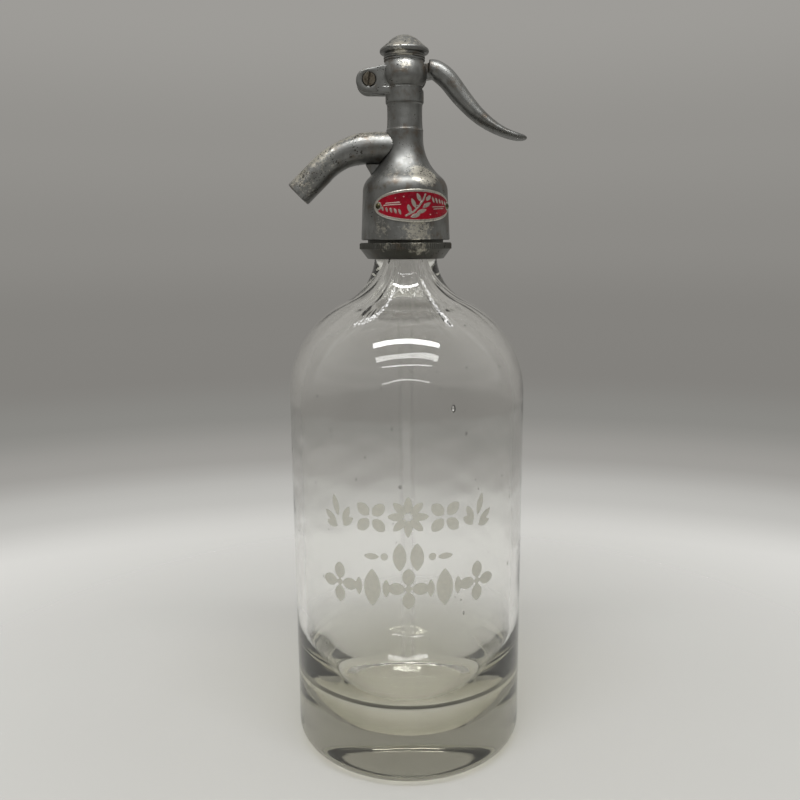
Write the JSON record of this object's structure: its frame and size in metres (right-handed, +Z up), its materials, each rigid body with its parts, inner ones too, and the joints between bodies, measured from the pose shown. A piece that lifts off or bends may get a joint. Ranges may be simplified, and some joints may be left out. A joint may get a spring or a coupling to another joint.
{
  "type": "soda siphon",
  "caption": "Glass soda siphon bottle with a cast metal head: a thumb lever opens a spring-closed valve, and a dip tube feeds a curved spout.",
  "frame": {"origin": "centre of the bottle's foot, on the surface it stands on", "axes": "+Z up along the bottle's axis, the spout towards -X, the lever towards +X, the name plate towards -Y"},
  "size_m": [0.1, 0.1, 0.3],
  "materials": {
    "bottle_glass": "clear soda-lime glass with a faint grey-green tint",
    "tube_glass": "clear drawn tube",
    "etched_frost": "acid-etched stencil on the glass",
    "cast_alloy": "dull grey zinc-type casting, pitted and rubbed bright in places",
    "ring_alloy": "darkened turned alloy",
    "aged_brass": "turned brass, dulled",
    "worn_steel": "worn plated steel",
    "seal_rubber": "black moulded rubber",
    "badge_enamel": "red enamel in a plated pressed plate"
  },
  "bodies": {
    "bottle_and_head": {"glass_bottle": "bottle_glass", "neck_ring": "ring_alloy", "collar_half_front": "worn_steel", "collar_half_back": "worn_steel", "lip_gasket": "seal_rubber", "tube_ferrule": "aged_brass", "tube_grommet": "seal_rubber", "dip_tube": "tube_glass", "head_gasket": "seal_rubber", "head_body": "cast_alloy", "spout": "cast_alloy", "valve_seat": "aged_brass", "packing_washer": "aged_brass", "stem_packing": "seal_rubber", "gland_nut": "aged_brass", "return_spring": "worn_steel", "pivot_screw": "worn_steel", "head_cap": "cast_alloy", "cap_washer": "ring_alloy", "badge_plate": "badge_enamel", "badge_rivets": "worn_steel"},
    "lever": {"lever": "cast_alloy"},
    "valve": {"valve_stem": "aged_brass", "valve_washer": "seal_rubber", "valve_plate": "aged_brass", "valve_nut": "aged_brass", "stem_button": "aged_brass"}
  },
  "joints": [
    {"name": "lever_pivot", "type": "hinge", "parent": "bottle_and_head", "child": "lever", "pos_m": [-0.0141, 0, 0.28257], "axis": [0, 1, 0], "range_deg": [0, 9], "stiffness_Nm_per_rad": 0.5, "springref_deg": -14.32},
    {"name": "valve_slide", "type": "slide", "parent": "bottle_and_head", "child": "valve", "axis": [0, 0, -1], "range_m": [0, 0.0023], "deforming": ["return_spring"]}
  ],
  "couplings": [
    {"joint": "valve_slide", "follows": "lever_pivot", "m_per_rad": 0.0141}
  ]
}
